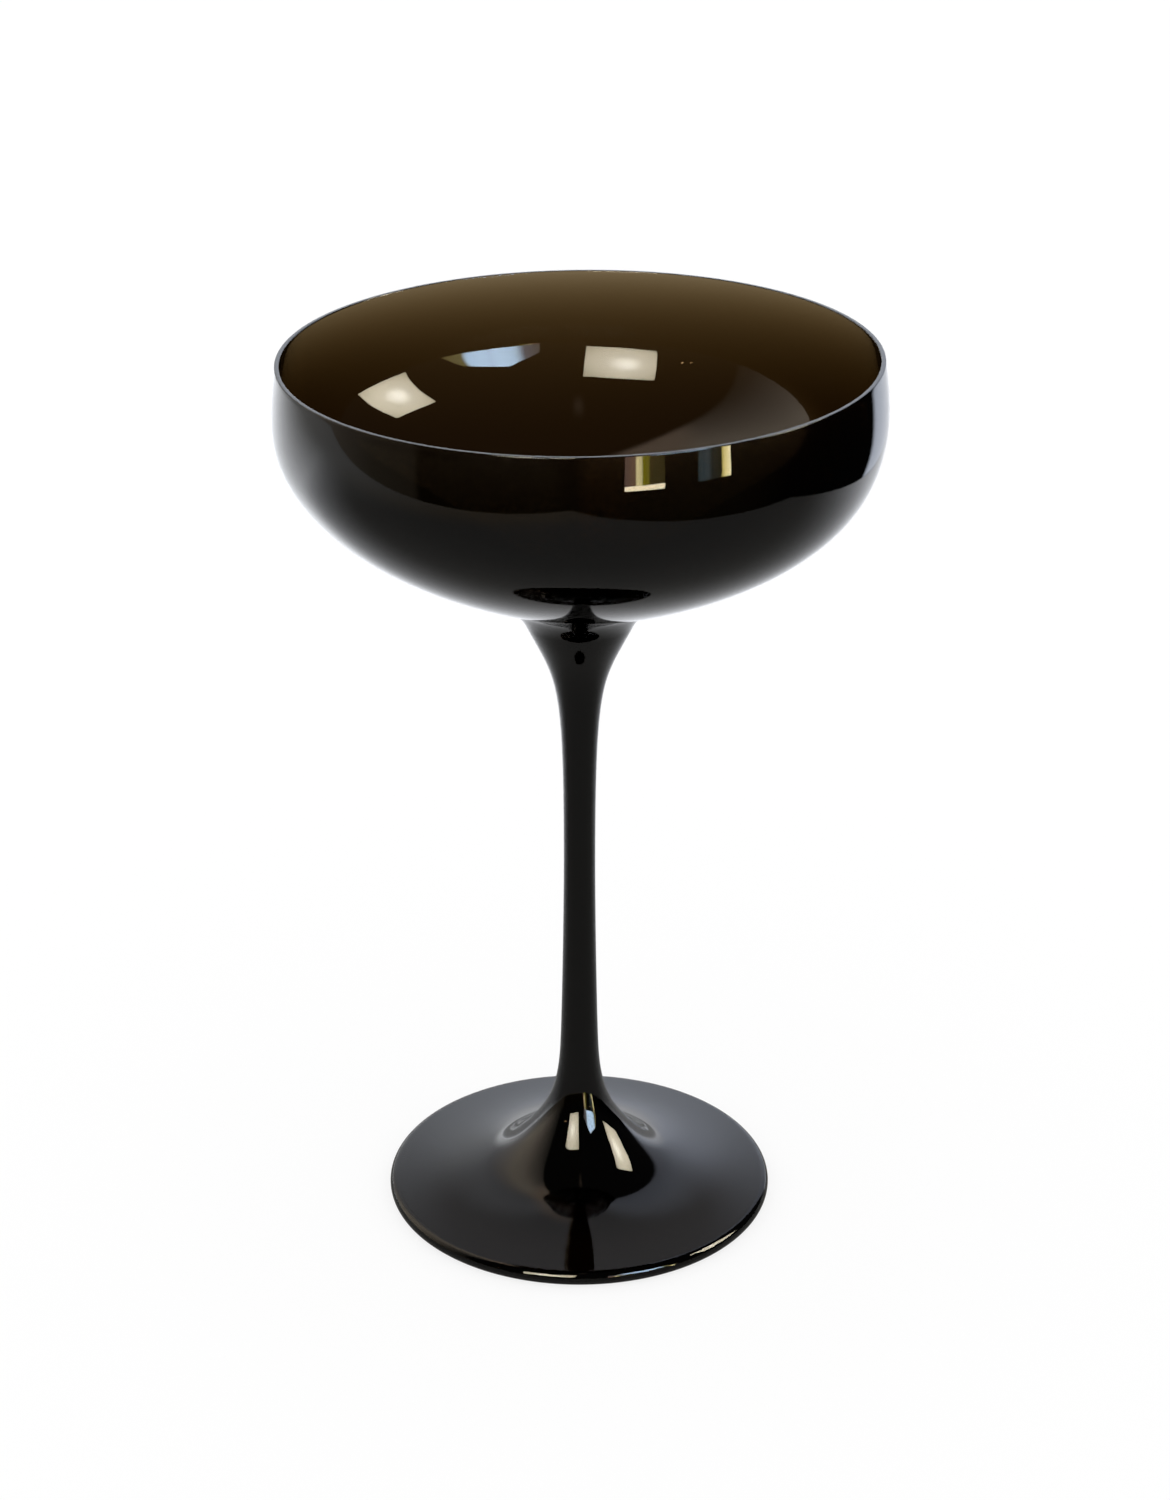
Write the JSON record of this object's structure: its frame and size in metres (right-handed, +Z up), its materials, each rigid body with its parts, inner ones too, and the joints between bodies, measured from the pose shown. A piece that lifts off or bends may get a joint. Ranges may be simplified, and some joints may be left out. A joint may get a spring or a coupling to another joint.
{
  "type": "stemmed cocktail glass",
  "caption": "Stemmed coupe glass: wide round-bottomed bowl on a slim flared stem and a round foot, in dark smoke glass.",
  "frame": {"origin": "centre of the foot's underside, on the surface the glass stands on", "axes": "+Z up along the axis of the stem and the bowl; the glass is round, so +X and +Y are any two level directions"},
  "size_m": [0.1064, 0.1064, 0.1655],
  "materials": {
    "bowl_glass": "fire-polished smoke glass, brown where the wall is thin and near black where it is thick",
    "stem_glass": "drawn smoke glass, near black through its full depth",
    "foot_glass": "cast smoke glass with a fire-polished rounded edge, near black"
  },
  "bodies": {
    "root": {"bowl": "bowl_glass", "stem": "stem_glass", "foot": "foot_glass"}
  },
  "joints": []
}
